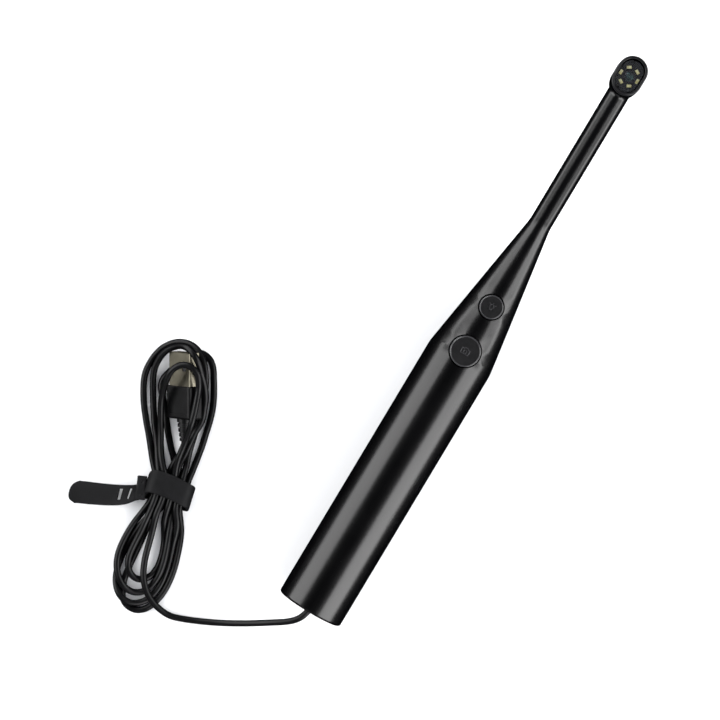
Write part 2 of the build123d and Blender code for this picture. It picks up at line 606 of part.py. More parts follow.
# side view of the tail: leaves the band at mid height and comes down to the table
crest = [(-2.0, 4.6), (3.0, 4.3), (8.0, 3.2), (14.0, 1.9), (21.0, 1.2), (32.0, 1.2)]
under = [(32.0, 0.0), (21.0, 0.0), (14.0, 0.6), (8.0, 1.9), (3.0, 2.9), (-2.0, 3.3)]
side_view = make_face([Spline(*crest), Line(crest[-1], under[0]), Spline(*under), Line(under[-1], crest[0])])
sheet = extrude(side_frame * side_view, 14, both=True)
tail = extrude(TAIL, 12) & sheet
for (x0, y0, x1, y1, w) in [(-82.6, -114.7, -81.7, -119.4, 1.1), (-79.0, -112.9, -78.0, -117.2, 0.8)]:
    m = ((x0 + x1) / 2, (y0 + y1) / 2)
    ln = math.hypot(x1 - x0, y1 - y0)
    ang = math.degrees(math.atan2(y1 - y0, x1 - x0))
    tail -= Pos(m[0], m[1], 5) * Rot(0, 0, ang) * Box(ln, w, 20)
eye = Plane(origin=(-74.6, -109.0, 0), x_dir=(0.90, 0.436, 0), z_dir=(0, 0, 1)).location * (
    Pos(0, 0, 3.55) * Box(3.2, 9.8, 4.7))
eye = fillet(eye.edges(), 0.6)
tie = band + tail + eye
tie -= BAND.location * band_section(IN_W, IN_Z0, IN_Z1, 1.8, BAND_W + 4)
print("strap solids", len(tie.solids()))
keep("cable_tie", tie)

# =====================================================================
# write every node
# =====================================================================
for name, shape in nodes.items():
    export_step(shape, "parts/" + name + ".step")
print(len(nodes), "nodes written")
wandbox = Compound(children=[s for n, sh in nodes.items()
                             if not n.startswith("usb_") and n not in
                             ("cord_lead", "cord_hank", "cable_tie", "cable_grommet", "cable_tail")
                             for s in sh.solids()]).bounding_box()
print("wand box", wandbox.min, wandbox.max)
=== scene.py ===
import bpy
import bmesh
import json
import math
from mathutils import Matrix, Vector
from mathutils.bvhtree import BVHTree


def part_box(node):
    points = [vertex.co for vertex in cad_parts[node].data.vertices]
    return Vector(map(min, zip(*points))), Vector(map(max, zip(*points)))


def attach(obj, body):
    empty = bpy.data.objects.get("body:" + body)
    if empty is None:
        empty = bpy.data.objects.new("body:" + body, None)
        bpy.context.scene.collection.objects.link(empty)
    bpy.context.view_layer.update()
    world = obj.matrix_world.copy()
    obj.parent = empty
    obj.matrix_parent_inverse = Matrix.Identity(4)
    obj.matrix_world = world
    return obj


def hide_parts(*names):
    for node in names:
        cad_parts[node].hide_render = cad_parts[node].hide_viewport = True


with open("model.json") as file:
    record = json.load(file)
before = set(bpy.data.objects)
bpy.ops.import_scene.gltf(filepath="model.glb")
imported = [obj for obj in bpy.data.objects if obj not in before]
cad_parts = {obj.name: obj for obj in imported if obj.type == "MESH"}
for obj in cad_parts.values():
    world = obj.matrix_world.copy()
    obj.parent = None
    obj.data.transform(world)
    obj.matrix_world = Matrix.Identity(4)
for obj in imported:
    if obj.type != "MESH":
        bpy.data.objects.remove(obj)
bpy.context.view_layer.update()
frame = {"nodes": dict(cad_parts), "record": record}
nodes = frame["nodes"]
coll = bpy.context.scene.collection


# ---------------------------------------------------------------- camera
cam = bpy.data.objects.new("camera", bpy.data.cameras.new("camera"))
coll.objects.link(cam)
cam.location = (-0.0303, -0.0288, 0.800)
cam.rotation_euler = (0.0, 0.0, math.radians(30.95))
cam.data.sensor_width = 36.0
cam.data.lens = 109.93
cam.data.clip_start = 0.01
bpy.context.scene.camera = cam


# ---------------------------------------------------------------- materials
def tree(name):
    m = bpy.data.materials.new(name)
    m.use_nodes = True
    t = m.node_tree
    t.nodes.clear()
    out = t.nodes.new("ShaderNodeOutputMaterial")
    b = t.nodes.new("ShaderNodeBsdfPrincipled")
    t.links.new(b.outputs[0], out.inputs[0])
    return m, t, b


def coords(t, scale=(1, 1, 1), rot=(0, 0, 0)):
    c = t.nodes.new("ShaderNodeTexCoord")
    mp = t.nodes.new("ShaderNodeMapping")
    mp.inputs["Scale"].default_value = scale
    mp.inputs["Rotation"].default_value = rot
    t.links.new(c.outputs["Object"], mp.inputs["Vector"])
    return mp.outputs["Vector"]


def noise(t, vec, scale, detail=3.0, rough=0.5):
    n = t.nodes.new("ShaderNodeTexNoise")
    n.inputs["Scale"].default_value = scale
    n.inputs["Detail"].default_value = detail
    n.inputs["Roughness"].default_value = rough
    t.links.new(vec, n.inputs["Vector"])
    return n.outputs["Fac"]


def remap(t, val, a0, a1, b0, b1):
    r = t.nodes.new("ShaderNodeMapRange")
    for k, x in zip(("From Min", "From Max", "To Min", "To Max"), (a0, a1, b0, b1)):
        r.inputs[k].default_value = x
    t.links.new(val, r.inputs["Value"])
    return r.outputs["Result"]


def maths(t, op, a, b):
    n = t.nodes.new("ShaderNodeMath")
    n.operation = op
    for i, x in enumerate((a, b)):
        if isinstance(x, (int, float)):
            n.inputs[i].default_value = x
        else:
            t.links.new(x, n.inputs[i])
    return n.outputs[0]


def mix(t, fac, c0, c1):
    n = t.nodes.new("ShaderNodeMix")
    n.data_type = "RGBA"
    t.links.new(fac, n.inputs[0])
    for i, c in ((6, c0), (7, c1)):
        if isinstance(c, tuple):
            n.inputs[i].default_value = (*c, 1.0)
        else:
            t.links.new(c, n.inputs[i])
    return n.outputs[2]


def surface(name, base, rough, metallic=0.0, var=0.18, rvar=0.05, grain=0.00035, depth=0.000008,
            blotch=0.012, streak=None, fleck=None, alpha=1.0, trans=0.0, ior=1.5, spec=0.5, coat=0.0,
            emit=0.0, second=None):
    """plastic, rubber or metal: blotchy colour and gloss, fine grain, optional streaks, scuffs and traces"""
    m, t, b = tree(name)
    v = coords(t)
    blot = noise(t, v, 1.0 / blotch, 4.0, 0.6)
    fine = noise(t, v, 1.0 / grain, 2.0, 0.5)
    lo = tuple(max(0.0, c * (1 - var)) for c in base)
    hi = second if second else tuple(min(1.0, c * (1 + var)) for c in base)
    fac = remap(t, blot, 0.3, 0.7, 0.0, 1.0)
    col = mix(t, fac, lo, hi)
    rg = remap(t, blot, 0.3, 0.7, rough - rvar, rough + rvar)
    height = remap(t, fine, 0.2, 0.8, 0.0, 1.0)
    if streak:
        vs = coords(t, streak[0])
        st = noise(t, vs, streak[1], 3.0, 0.6)
        sf = remap(t, st, 0.35, 0.65, -1.0, 1.0)
        rg = maths(t, "ADD", rg, maths(t, "MULTIPLY", sf, streak[2]))
        height = maths(t, "ADD", height, maths(t, "MULTIPLY", sf, streak[3]))
    if fleck:
        fl = noise(t, v, fleck[0], 6.0, 0.7)
        ff = remap(t, fl, fleck[1], fleck[1] + 0.06, 0.0, 1.0)
        col = mix(t, maths(t, "MULTIPLY", ff, fleck[3]), col, fleck[2])
        rg = maths(t, "ADD", rg, maths(t, "MULTIPLY", ff, 0.12))
    t.links.new(col, b.inputs["Base Color"])
    t.links.new(rg, b.inputs["Roughness"])
    b.inputs["Metallic"].default_value = metallic
    b.inputs["IOR"].default_value = ior
    b.inputs["Specular IOR Level"].default_value = spec
    b.inputs["Coat Weight"].default_value = coat
    b.inputs["Coat Roughness"].default_value = 0.12
    b.inputs["Transmission Weight"].default_value = trans
    b.inputs["Alpha"].default_value = alpha
    if emit:
        t.links.new(col, b.inputs["Emission Color"])
        b.inputs["Emission Strength"].default_value = emit
    bp = t.nodes.new("ShaderNodeBump")
    bp.inputs["Strength"].default_value = 0.6
    bp.inputs["Distance"].default_value = depth
    t.links.new(height, bp.inputs["Height"])
    t.links.new(bp.outputs[0], b.inputs["Normal"])
    return m


MATS = {
    "case_black": surface("case_black", (0.0008, 0.0008, 0.0011), 0.25, rvar=0.02, grain=0.0006,
                          depth=0.0000015, blotch=0.02, streak=((1, 0.05, 1), 900, 0.012, 0.1),
                          fleck=(900, 0.70, (0.004, 0.004, 0.0045), 0.5)),
    "button_grey": surface("button_grey", (0.0034, 0.0034, 0.0040), 0.50, spec=0.26, rvar=0.04, grain=0.00045,
                           depth=0.000022, blotch=0.003),
    "bezel_grey": surface("bezel_grey", (0.006, 0.006, 0.007), 0.34, spec=0.4, grain=0.0004, depth=0.000004, blotch=0.003),
    "window_glass": surface("window_glass", (0.80, 0.82, 0.86), 0.05, spec=0.25, rvar=0.015, var=0.02, trans=1.0,
                            grain=0.003, depth=0.0000005, blotch=0.004),
    "lens_glass": surface("lens_glass", (0.010, 0.012, 0.022), 0.16, spec=0.25, rvar=0.015, trans=0.0, grain=0.001,
                          depth=0.0000005, blotch=0.002, coat=0.0, second=(0.010, 0.045, 0.030)),
    "lens_black": surface("lens_black", (0.004, 0.004, 0.005), 0.45, metallic=0.0, spec=0.2, grain=0.0003, depth=0.00001,
                          blotch=0.002, streak=((1, 1, 8), 700, 0.04, 0.4)),
    "led_yellow": surface("led_yellow", (0.78, 0.68, 0.22), 0.28, rvar=0.04, grain=0.0002, depth=0.000006,
                          blotch=0.001, emit=0.12, second=(0.88, 0.84, 0.46)),
    "lamp_board": surface("lamp_board", (0.0030, 0.0024, 0.0018), 0.55, spec=0.15, grain=0.0003, depth=0.00001, blotch=0.0012,
                          fleck=(600, 0.60, (0.09, 0.055, 0.012), 0.8)),
    "circuit_board": surface("circuit_board", (0.010, 0.060, 0.026), 0.34, grain=0.0003, depth=0.000012,
                             blotch=0.004, streak=((1, 0.06, 1), 700, 0.03, 0.7),
                             fleck=(420, 0.62, (0.02, 0.12, 0.05), 0.8)),
    "chip_black": surface("chip_black", (0.022, 0.022, 0.024), 0.62, grain=0.0002, depth=0.00002, blotch=0.002),
    "ceramic_tan": surface("ceramic_tan", (0.40, 0.28, 0.17), 0.55, grain=0.0002, depth=0.00001, blotch=0.0008),
    "crystal_steel": surface("crystal_steel", (0.60, 0.60, 0.60), 0.27, metallic=1.0, grain=0.0003, depth=0.000008,
                             blotch=0.002, streak=((1, 0.06, 1), 1500, 0.06, 0.6)),
    "screw_steel": surface("screw_steel", (0.42, 0.42, 0.43), 0.33, metallic=1.0, grain=0.0002, depth=0.00001,
                           blotch=0.001, streak=((1, 1, 6), 1800, 0.05, 0.8)),
    "connector_ivory": surface("connector_ivory", (0.70, 0.65, 0.52), 0.48, var=0.06, grain=0.0003, depth=0.00001,
                               blotch=0.003),
    "flex_amber": surface("flex_amber", (0.34, 0.14, 0.025), 0.30, grain=0.0003, depth=0.00001, blotch=0.004,
                          streak=((1, 0.02, 1), 1800, 0.05, 1.0)),
    "seal_black": surface("seal_black", (0.011, 0.011, 0.012), 0.55, grain=0.0002, depth=0.00001, blotch=0.002),
    "cable_black": surface("cable_black", (0.0014, 0.0014, 0.0018), 0.36, rvar=0.05, spec=0.24, grain=0.0004, depth=0.00001,
                           blotch=0.006, fleck=(700, 0.66, (0.006, 0.006, 0.0065), 0.6)),
    "core_wires": surface("core_wires", (0.42, 0.05, 0.035), 0.38, grain=0.0003, depth=0.000006, blotch=0.003,
                          second=(0.60, 0.10, 0.06)),
    "strap_black": surface("strap_black", (0.0036, 0.0036, 0.0042), 0.60, rvar=0.06, spec=0.18, grain=0.00055, depth=0.00003,
                           blotch=0.004, streak=((1, 0.2, 1), 500, 0.03, 0.5),
                           fleck=(500, 0.66, (0.008, 0.008, 0.0086), 0.6)),
    "grip_black": surface("grip_black", (0.0020, 0.0020, 0.0024), 0.42, spec=0.28, grain=0.0004, depth=0.000012, blotch=0.004,
                          fleck=(600, 0.66, (0.02, 0.02, 0.02), 0.6)),
    "plug_steel": surface("plug_steel", (0.28, 0.26, 0.20), 0.36, metallic=1.0, var=0.10, rvar=0.03, grain=0.0012,
                          depth=0.0000010, blotch=0.004, streak=((1, 1, 0.1), 500, 0.03, 0.3),
                          fleck=(200, 0.64, (0.36, 0.34, 0.28), 0.4)),
    "plug_core": surface("plug_core", (0.015, 0.015, 0.017), 0.50, grain=0.0003, depth=0.00001, blotch=0.002),
    "contact_gold": surface("contact_gold", (0.78, 0.55, 0.20), 0.22, metallic=1.0, grain=0.0002, depth=0.000006,
                            blotch=0.001, streak=((1, 0.1, 1), 1800, 0.05, 0.6)),
    "switch_grey": surface("switch_grey", (0.09, 0.09, 0.10), 0.52, grain=0.0003, depth=0.00001, blotch=0.002),
    "plunger_white": surface("plunger_white", (0.66, 0.66, 0.63), 0.45, var=0.06, grain=0.0003, depth=0.00001,
                             blotch=0.001),
}
SLOT = {p["node"]: p["material_slot"] for p in frame["record"]["subparts"]}
for name, o in nodes.items():
    for s in o.material_slots:
        s.material = MATS[SLOT[name]]


# ---------------------------------------------------------------- cable
# control points of the cable's line: from inside the bush, under the strap, through the
# loops of the hank, to the plug
LINE = [
    (0.2, -114.4, 12.50), (-0.4, -117.5, 12.40), (-1.9, -120.3, 12.01), (-4.5, -122.9, 11.19),
    (-9.7, -126.6, 9.17), (-16.6, -131.6, 5.61), (-24.2, -136.4, 2.72), (-32.0, -140.4, 1.61),
    (-39.1, -143.3, 1.79), (-42.2, -144.0, 2.25), (-45.2, -143.8, 2.92), (-48.7, -143.0, 3.65),
    (-52.3, -141.3, 4.25), (-55.5, -138.6, 4.54), (-58.0, -135.2, 4.35), (-59.8, -131.4, 3.84),
    (-61.1, -127.4, 3.50), (-62.1, -123.5, 3.74), (-63.1, -119.9, 4.63), (-64.1, -116.8, 5.77),
    (-64.9, -113.8, 6.40), (-65.3, -110.4, 5.64), (-66.1, -106.5, 5.44), (-67.5, -102.4, 5.72),
    (-71.2, -98.8, 5.63), (-74.0, -95.7, 5.01), (-76.1, -92.7, 4.51), (-77.9, -89.6, 4.39),
    (-79.8, -86.5, 4.72), (-81.6, -83.3, 5.43), (-83.1, -80.5, 6.34), (-84.3, -78.0, 7.40),
    (-85.1, -75.6, 8.79), (-85.7, -73.2, 10.58), (-86.1, -70.6, 12.49), (-86.3, -67.8, 14.01),
    (-85.8, -65.7, 14.69), (-85.0, -64.2, 15.11), (-84.0, -63.1, 15.40), (-82.9, -62.4, 15.58),
    (-81.6, -62.0, 15.70), (-80.3, -62.0, 15.74), (-78.9, -62.3, 15.68), (-77.4, -63.1, 15.50),
    (-76.1, -64.4, 15.13), (-74.8, -66.4, 14.49), (-73.8, -68.8, 13.94), (-72.9, -71.3, 13.83),
    (-71.9, -74.0, 14.16), (-70.9, -76.9, 14.48), (-70.1, -79.8, 13.91), (-69.6, -82.8, 12.17),
    (-69.1, -85.7, 10.44), (-68.7, -88.8, 9.25), (-68.3, -91.9, 8.47), (-67.7, -94.8, 7.45),
    (-66.6, -97.9, 6.19), (-64.8, -101.8, 5.36), (-63.6, -105.9, 5.19), (-62.6, -109.8, 5.10),
    (-62.0, -112.5, 4.36), (-61.2, -115.4, 3.14), (-59.3, -118.5, 2.06), (-57.2, -122.1, 1.49),
    (-55.6, -126.2, 1.27), (-54.6, -130.6, 1.16), (-54.8, -134.0, 1.34), (-55.7, -136.1, 1.67),
    (-56.8, -137.5, 2.05), (-58.2, -138.3, 2.44), (-59.7, -138.5, 2.84), (-61.2, -138.2, 3.23),
    (-62.8, -137.3, 3.55), (-64.4, -135.5, 3.80), (-65.7, -132.4, 3.87), (-66.2, -127.2, 4.07),
    (-66.4, -122.5, 4.85), (-66.8, -118.5, 5.99), (-67.2, -115.0, 6.23), (-67.7, -111.2, 5.63),
    (-68.7, -107.1, 5.30), (-70.0, -103.2, 4.79), (-72.5, -100.1, 3.92), (-74.6, -97.5, 3.04),
    (-76.4, -94.9, 2.22), (-78.2, -92.4, 1.56), (-80.3, -89.7, 1.23), (-82.6, -86.8, 1.19),
    (-84.8, -83.6, 1.23), (-86.8, -80.6, 1.33), (-88.4, -78.1, 1.51), (-89.8, -75.8, 1.76),
    (-91.0, -73.7, 2.08), (-92.0, -71.5, 2.52), (-92.7, -69.3, 3.13), (-92.9, -67.0, 3.96),
    (-92.8, -64.8, 5.01), (-92.3, -62.6, 6.31), (-91.3, -60.6, 7.75), (-89.8, -58.8, 9.51),
    (-88.1, -57.4, 11.71), (-86.2, -56.8, 13.74), (-84.3, -56.9, 15.03), (-82.4, -57.5, 15.64),
    (-80.4, -58.6, 15.59), (-78.5, -60.0, 14.62), (-76.8, -61.8, 13.28), (-75.1, -63.6, 12.18),
    (-73.4, -65.3, 11.34), (-71.9, -67.3, 10.32), (-70.5, -69.6, 9.06), (-69.5, -72.3, 7.86),
    (-68.3, -75.2, 6.78), (-67.7, -78.2, 6.66), (-67.9, -81.2, 7.41), (-67.6, -84.2, 7.93),
    (-67.2, -87.3, 7.69), (-66.9, -90.3, 6.86), (-66.9, -93.2, 5.73), (-66.7, -95.7, 4.44),
    (-65.4, -98.2, 3.38), (-63.4, -101.5, 2.78), (-62.3, -105.6, 2.43), (-61.4, -109.4, 2.41),
    (-60.1, -111.8, 2.66), (-58.9, -114.4, 3.22), (-57.6, -117.5, 3.76), (-56.1, -121.0, 3.77),
    (-54.7, -124.7, 3.52), (-53.5, -128.5, 3.24), (-52.7, -132.5, 2.82), (-52.8, -136.4, 2.09),
    (-53.5, -139.8, 1.57), (-55.2, -142.1, 1.76), (-57.5, -143.4, 2.40), (-60.3, -143.5, 3.30),
    (-63.3, -142.3, 4.02), (-66.0, -140.1, 4.08), (-68.2, -137.1, 3.65), (-69.6, -133.5, 3.12),
    (-70.2, -129.4, 2.75), (-70.4, -125.1, 2.71), (-70.2, -120.8, 2.86), (-69.6, -116.5, 2.95),
    (-69.1, -111.6, 2.94), (-69.9, -107.3, 2.81), (-71.2, -103.5, 2.53), (-73.9, -101.1, 1.91),
    (-76.1, -98.8, 1.48), (-78.0, -96.5, 1.26), (-80.0, -94.1, 1.20), (-82.2, -91.4, 1.21),
    (-84.7, -88.7, 1.20), (-86.9, -86.0, 1.20), (-89.1, -83.3, 1.20), (-91.0, -80.5, 1.20),
    (-92.5, -78.0, 1.20), (-93.7, -75.8, 1.20), (-94.6, -73.6, 1.20), (-95.1, -71.4, 1.26),
    (-95.2, -69.1, 1.44), (-95.2, -66.8, 1.72), (-94.8, -64.4, 2.08), (-94.2, -62.2, 2.48),
    (-93.1, -60.3, 2.93), (-91.8, -58.5, 3.41), (-90.2, -57.1, 3.94), (-88.4, -56.1, 4.52),
    (-86.4, -55.5, 5.13), (-84.4, -55.4, 5.72), (-82.5, -55.8, 6.25), (-80.6, -56.6, 6.69),
    (-78.9, -57.8, 7.00), (-77.3, -59.4, 7.20), (-75.8, -61.2, 7.33), (-74.4, -63.2, 7.42),
    (-73.2, -65.4, 7.40), (-72.2, -67.7, 7.10), (-71.3, -70.2, 6.44), (-70.5, -73.0, 5.58),
    (-69.8, -75.9, 4.83), (-68.9, -78.8, 4.58), (-68.0, -81.7, 4.77), (-67.2, -84.7, 4.84),
    (-66.5, -87.7, 4.67), (-65.7, -90.5, 4.38), (-64.7, -93.2, 4.34), (-63.7, -96.6, 4.79),
    (-62.2, -101.1, 4.98), (-61.1, -105.4, 4.96), (-60.0, -109.0, 4.82), (-58.5, -111.1, 4.54),
    (-56.6, -113.4, 3.92), (-55.3, -116.7, 3.00), (-54.4, -120.3, 2.01), (-53.2, -123.9, 1.36),
    (-52.0, -127.5, 1.19), (-51.1, -131.3, 1.20), (-50.5, -135.2, 1.20), (-50.6, -139.0, 1.19),
    (-51.5, -142.5, 1.36), (-53.3, -145.3, 1.96), (-55.9, -147.0, 2.90), (-58.9, -147.3, 3.67),
    (-61.9, -146.3, 3.58), (-64.5, -144.1, 2.61), (-66.3, -141.1, 1.68), (-67.4, -137.6, 1.26),
    (-68.0, -133.9, 1.20), (-68.3, -129.9, 1.20), (-68.2, -125.8, 1.42), (-67.9, -121.8, 2.29),
    (-67.3, -118.1, 3.50), (-65.6, -114.5, 4.01), (-64.1, -110.4, 3.26), (-64.8, -106.2, 2.91),
    (-65.9, -102.1, 2.44), (-67.1, -98.5, 1.49), (-68.2, -96.3, 1.18), (-69.6, -94.6, 1.23),
    (-71.2, -93.0, 1.21), (-73.1, -91.1, 1.20), (-74.9, -89.1, 1.20), (-76.8, -87.0, 1.20),
    (-78.6, -84.7, 1.20), (-80.5, -82.3, 1.20), (-82.4, -80.0, 1.20), (-84.1, -78.0, 1.20),
    (-85.8, -76.2, 1.20), (-87.0, -74.8, 1.20), (-87.8, -73.4, 1.20), (-88.1, -71.9, 1.20),
    (-88.1, -70.5, 1.20), (-87.7, -68.9, 1.20), (-87.3, -67.2, 1.20), (-86.7, -65.3, 1.20),
    (-86.2, -63.3, 1.20), (-85.6, -61.3, 1.20), (-84.8, -59.4, 1.20), (-83.8, -58.0, 1.20),
    (-82.6, -57.0, 1.20), (-81.3, -56.4, 1.20), (-79.9, -56.1, 1.20), (-78.3, -56.3, 1.20),
    (-76.8, -56.8, 1.20), (-75.2, -58.0, 1.20), (-73.8, -59.7, 1.20), (-72.5, -61.8, 1.20),
    (-71.2, -63.8, 1.20), (-69.9, -66.0, 1.20), (-68.7, -68.1, 1.20), (-67.6, -70.4, 1.20),
    (-66.6, -72.8, 1.20), (-65.8, -75.4, 1.20), (-65.1, -78.1, 1.20), (-64.5, -80.8, 1.20),
    (-63.8, -83.5, 1.20), (-63.2, -86.3, 1.21), (-62.7, -89.0, 1.34), (-62.2, -91.8, 1.63),
    (-61.6, -95.5, 2.04), (-60.8, -100.7, 2.46), (-59.9, -105.1, 2.71), (-58.8, -108.7, 2.60),
    (-57.6, -110.7, 2.19), (-55.9, -112.8, 1.56), (-54.0, -115.6, 1.19), (-52.4, -119.0, 1.21),
    (-51.1, -122.6, 1.21), (-49.8, -126.4, 1.20), (-48.8, -130.2, 1.20), (-48.2, -134.3, 1.20),
    (-48.1, -138.4, 1.20), (-48.8, -142.4, 1.20), (-50.2, -145.9, 1.20), (-52.5, -148.2, 1.20),
    (-55.1, -149.0, 1.21), (-57.7, -148.7, 1.20), (-60.0, -147.2, 1.20), (-61.7, -144.3, 1.20),
    (-62.9, -140.7, 1.24), (-63.6, -137.0, 1.19), (-64.0, -133.2, 1.21), (-64.4, -129.0, 1.29),
    (-64.8, -124.9, 1.32), (-65.5, -120.8, 1.25), (-66.5, -116.3, 1.14), (-66.8, -111.1, 2.41),
    (-67.4, -106.8, 3.08), (-68.3, -102.5, 3.15), (-68.8, -97.6, 3.49), (-68.9, -93.8, 3.86),
    (-68.4, -90.6, 4.72), (-68.7, -88.3, 5.47), (-69.6, -86.4, 5.83), (-70.4, -85.0, 5.97),
]
cd = bpy.data.curves.new("cable", "CURVE")
cd.dimensions = "3D"
sp = cd.splines.new("NURBS")
sp.points.add(len(LINE) - 1)
for p, (x, y, z) in zip(sp.points, LINE):
    p.co = (x * 0.001, y * 0.001, z * 0.001, 1.0)
sp.order_u = 3
sp.use_endpoint_u = True
sp.resolution_u = 6
cd.bevel_depth = 0.0012
cd.bevel_resolution = 4
cd.use_fill_caps = True
cable = bpy.data.objects.new("cable", cd)
coll.objects.link(cable)
cd.materials.append(MATS["cable_black"])
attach(cable, "camera")
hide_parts("cord_lead", "cord_hank")


# ---------------------------------------------------------------- strap
O = Vector((-64.9, -106.2, 0.0))
EX = Vector((0.972, 0.233, 0.0)).normalized()
EY = Vector((-EX.y, EX.x, 0.0))


def W(x, y, z):
    return (O + EX * x + EY * y + Vector((0, 0, z))) * 0.001


def add_mesh(name, verts, faces, mat, body, smooth=True):
    me = bpy.data.meshes.new(name)
    me.from_pydata(verts, [], faces)
    me.validate()
    bm = bmesh.new()
    bm.from_mesh(me)
    bmesh.ops.remove_doubles(bm, verts=bm.verts, dist=1e-7)
    bmesh.ops.recalc_face_normals(bm, faces=bm.faces)
    for f in bm.faces:
        f.smooth = smooth
    bm.to_mesh(me)
    bm.free()
    o = bpy.data.objects.new(name, me)
    coll.objects.link(o)
    me.materials.append(mat)
    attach(o, body)
    return o


def rounded(w, z0, z1, r, n):
    """stations of a rounded rectangle: (x, z, nx, nz)"""
    pts = []
    for cx, cz, a0 in ((w - r, z1 - r, 0), (-w + r, z1 - r, 90), (-w + r, z0 + r, 180), (w - r, z0 + r, 270)):
        for k in range(n + 1):
            a = math.radians(a0 + 90 * k / n)
            pts.append((cx + r * math.cos(a), cz + r * math.sin(a), math.cos(a), math.sin(a)))
    out = []
    for i, p in enumerate(pts):
        q = pts[(i + 1) % len(pts)]
        out.append(p)
        d = math.hypot(q[0] - p[0], q[1] - p[1])
        m = int(d / 1.1)
        for k in range(1, m):
            f = k / m
            out.append((p[0] + (q[0] - p[0]) * f, p[1] + (q[1] - p[1]) * f, p[2], p[3]))
    return out


def section(hw, t, r, n=3):
    """section of the strap: (across, out)"""
    pts = []
    for cx, cz, a0 in ((hw - r, t - r, 0), (-hw + r, t - r, 90), (-hw + r, r, 180), (hw - r, r, 270)):
        for k in range(n + 1):
            a = math.radians(a0 + 90 * k / n)
            pts.append((cx + r * math.cos(a), cz + r * math.sin(a)))
    out = []
    for i, p in enumerate(pts):
        q = pts[(i + 1) % len(pts)]
        out.append(p)
        if abs(q[0] - p[0]) > 2:
            for k in range(1, 8):
                out.append((p[0] + (q[0] - p[0]) * k / 8, p[1] + (q[1] - p[1]) * k / 8))
    return out


def lean(z):
    f = min(max((z - 1.2) / 6.2, 0.0), 1.0)
    return 2.3 * f * f * (3 - 2 * f)


ring = rounded(7.75, 1.15, 6.25, 2.45, 7)
sec = section(4.3, 1.12, 0.4)
V, F = [], []
for (x, z, nx, nz) in ring:
    for (u, t) in sec:
        zz = z + nz * t
        wob = 0.12 * math.sin(x * 0.8 + u) * math.cos(u * 0.7)
        crown = 0.9 * (1 - (x / 7.75) ** 2) * max(0.0, nz) if z > 4 else 0.0
        V.append(W(x + nx * t, u + lean(zz) + 0.8 * crown - 0.10 * x * max(0.0, nz) * (z > 4),
                   max(0.02, zz + 0.5 * crown + (wob if nz > 0.5 else 0.0))))
nr, ns = len(ring), len(sec)
for i in range(nr):
    for j in range(ns):
        a, b = i * ns + j, i * ns + (j + 1) % ns
        c, d = ((i + 1) % nr) * ns + (j + 1) % ns, ((i + 1) % nr) * ns + j
        F.append((a, b, c, d))
band = add_mesh("strap_band", V, F, MATS["strap_black"], "camera")
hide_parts("cable_tie")
sub = band.modifiers.new("smooth", "SUBSURF")
sub.levels = sub.render_levels = 1

# tail: leaves the band under the keeper, comes down to the table and ends round
T_TOP = [(-70.3, -105.6), (-74.6, -107.7), (-78.3, -110.4), (-84.0, -113.6), (-91.4, -117.2), (-97.6, -120.4)]
T_BOT = [(-71.9, -112.4), (-73.9, -114.4), (-76.6, -117.6), (-81.4, -121.0), (-88.6, -124.8), (-95.2, -128.0)]
T_Z = [3.5, 3.6, 3.1, 2.0, 1.0, 0.62]


def along(pts, f):
    n = len(pts) - 1
    i = min(int(f * n), n - 1)
    g = f * n - i
    p0, p1, p2, p3 = pts[max(i - 1, 0)], pts[i], pts[i + 1], pts[min(i + 2, n)]
    return tuple(0.5 * (2 * b + (c - a) * g + (2 * a - 5 * b + 4 * c - d) * g * g + (3 * b - a - 3 * c + d) * g ** 3)
                 for a, b, c, d in zip(p0, p1, p2, p3))


slots_u = [(0.356, 0.392), (0.478, 0.520)]
us = [k / 30 for k in range(31)]
us = [u for u in us if all(abs(u - e) > 0.018 for s in slots_u for e in s)]
us = sorted(us + [e for s in slots_u for e in s])
vs = [0.0, 0.018, 0.05, 0.10, 0.16, 0.21, 0.27, 0.38, 0.5, 0.62, 0.73, 0.81, 0.86, 0.90, 0.95, 0.982, 1.0]
V, F = [], []
for u in us:
    tp, bt, zz = along(T_TOP, u), along(T_BOT, u), along([(z,) for z in T_Z], u)[0]
    dirv = Vector((-0.85, -0.52))
    for v in vs:
        e = abs(2 * v - 1)
        back = 3.6 * (1 - math.sqrt(max(0.0, 1 - min(e, 0.995) ** 2.6))) * max(0.0, (u - 0.72) / 0.28) ** 1.5
        x = bt[0] + (tp[0] - bt[0]) * v - dirv.x * back
        y = bt[1] + (tp[1] - bt[1]) * v - dirv.y * back
        V.append(Vector((x, y, zz + 0.10 * math.sin(5 * v + 6 * u))) * 0.001)
nv = len(vs)
for i in range(len(us) - 1):
    for j in range(nv - 1):
        um, vm = (us[i] + us[i + 1]) / 2, (vs[j] + vs[j + 1]) / 2
        if any(a < um < b for a, b in slots_u) and 0.27 < vm < 0.81:
            continue
        F.append((i * nv + j, (i + 1) * nv + j, (i + 1) * nv + j + 1, i * nv + j + 1))
tail = add_mesh("strap_tail", V, F, MATS["strap_black"], "camera")
so = tail.modifiers.new("thick", "SOLIDIFY")
so.thickness = 0.00115
so.offset = 0.0
bv = tail.modifiers.new("edge", "BEVEL")
bv.width = 0.00013
bv.segments = 2
bv.limit_method = "ANGLE"
sub = tail.modifiers.new("smooth", "SUBSURF")
sub.levels = sub.render_levels = 1

